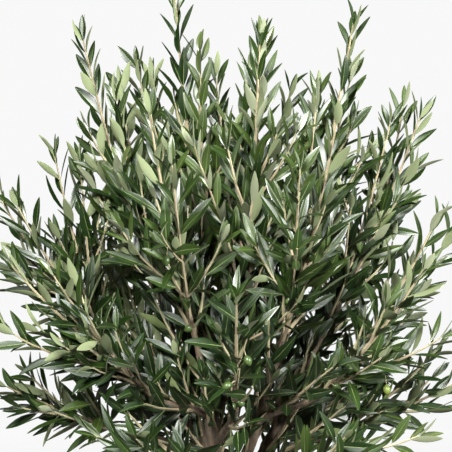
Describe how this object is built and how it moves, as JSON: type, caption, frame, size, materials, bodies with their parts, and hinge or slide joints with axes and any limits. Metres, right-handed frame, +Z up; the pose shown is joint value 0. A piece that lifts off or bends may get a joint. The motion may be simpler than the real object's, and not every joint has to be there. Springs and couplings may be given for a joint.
{
  "type": "potted olive tree",
  "caption": "Olive tree with a clear trunk and a dense round crown of upright leafy shoots, standing in a plain tapered clay pot of soil.",
  "frame": {"origin": "middle of the pot's flat underside, where it stands on the floor", "axes": "+Z up along the trunk, +X to the right and +Y away as seen from the front"},
  "size_m": [1.1315, 1.0927, 1.8955],
  "materials": {
    "clay": "matt, unglazed",
    "soil": "matt, crumbly",
    "bark": "rough bark",
    "leaves": "leathery, satin"
  },
  "bodies": {
    "root": {"bough_low_back_left": "bark", "bough_low_back_right": "bark", "bough_low_front_left": "bark", "bough_low_front_right": "bark", "bough_low_left": "bark", "bough_low_right": "bark", "bough_shoulder_back_left": "bark", "bough_shoulder_back_right": "bark", "bough_shoulder_front_left": "bark", "bough_shoulder_front_right": "bark", "bough_shoulder_left": "bark", "bough_shoulder_right": "bark", "bough_side_back": "bark", "bough_side_front": "bark", "bough_side_left": "bark", "bough_side_left_back": "bark", "bough_side_left_front": "bark", "bough_side_right": "bark", "bough_side_right_back": "bark", "bough_side_right_front": "bark", "bough_top_back": "bark", "bough_top_front": "bark", "bough_top_left": "bark", "bough_top_right": "bark", "foliage_low_back_left": "leaves", "foliage_low_back_right": "leaves", "foliage_low_front_left": "leaves", "foliage_low_front_right": "leaves", "foliage_low_left": "leaves", "foliage_low_right": "leaves", "foliage_shoulder_back_left": "leaves", "foliage_shoulder_back_right": "leaves", "foliage_shoulder_front_left": "leaves", "foliage_shoulder_front_right": "leaves", "foliage_shoulder_left": "leaves", "foliage_shoulder_right": "leaves", "foliage_side_back": "leaves", "foliage_side_front": "leaves", "foliage_side_left": "leaves", "foliage_side_left_back": "leaves", "foliage_side_left_front": "leaves", "foliage_side_right": "leaves", "foliage_side_right_back": "leaves", "foliage_side_right_front": "leaves", "foliage_top_back": "leaves", "foliage_top_front": "leaves", "foliage_top_left": "leaves", "foliage_top_right": "leaves", "pot": "clay", "soil": "soil", "trunk": "bark"}
  },
  "joints": []
}
